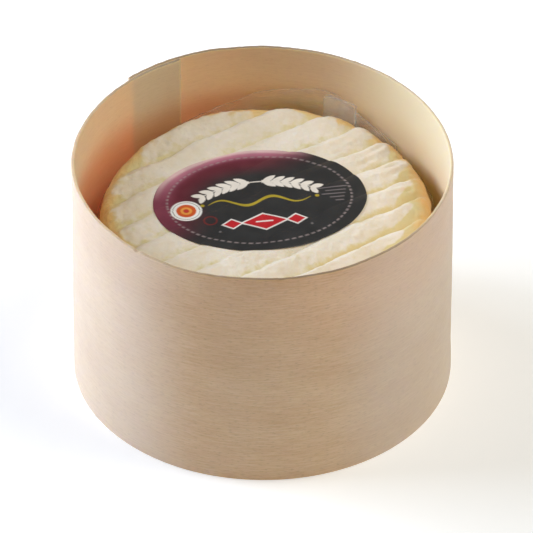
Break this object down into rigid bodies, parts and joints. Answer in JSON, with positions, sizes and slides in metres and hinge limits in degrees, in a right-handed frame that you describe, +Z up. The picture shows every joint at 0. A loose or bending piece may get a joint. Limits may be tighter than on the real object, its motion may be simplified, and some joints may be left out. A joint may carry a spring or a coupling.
{
  "type": "soft ripened cheese in a round veneer box",
  "caption": "Round soft ripened cheese with a ridged white rind and an oval label, wrapped in clear film and standing in a tall open round box of bent wood veneer.",
  "frame": {"origin": "centre of the box's round underside, on the surface it stands on", "axes": "+Z up along the axis of the ring, +X to the right as the picture shows it, -Y towards the viewer"},
  "size_m": [0.125, 0.1251, 0.084],
  "materials": {
    "veneer_wall": "matte, peeled poplar veneer with fine grain running round the ring",
    "veneer_base": "matte, plain poplar veneer disc",
    "bloomy_rind": "matte, ivory white bloom over a straw yellow paste",
    "printed_label": "satin, coated paper printed charcoal with a plum edge and plain shapes",
    "clear_film": "gloss, thin clear wrapping film"
  },
  "bodies": {
    "root": {"box_wall": "veneer_wall", "box_base": "veneer_base", "cheese": "bloomy_rind", "label": "printed_label", "film": "clear_film"}
  },
  "joints": []
}
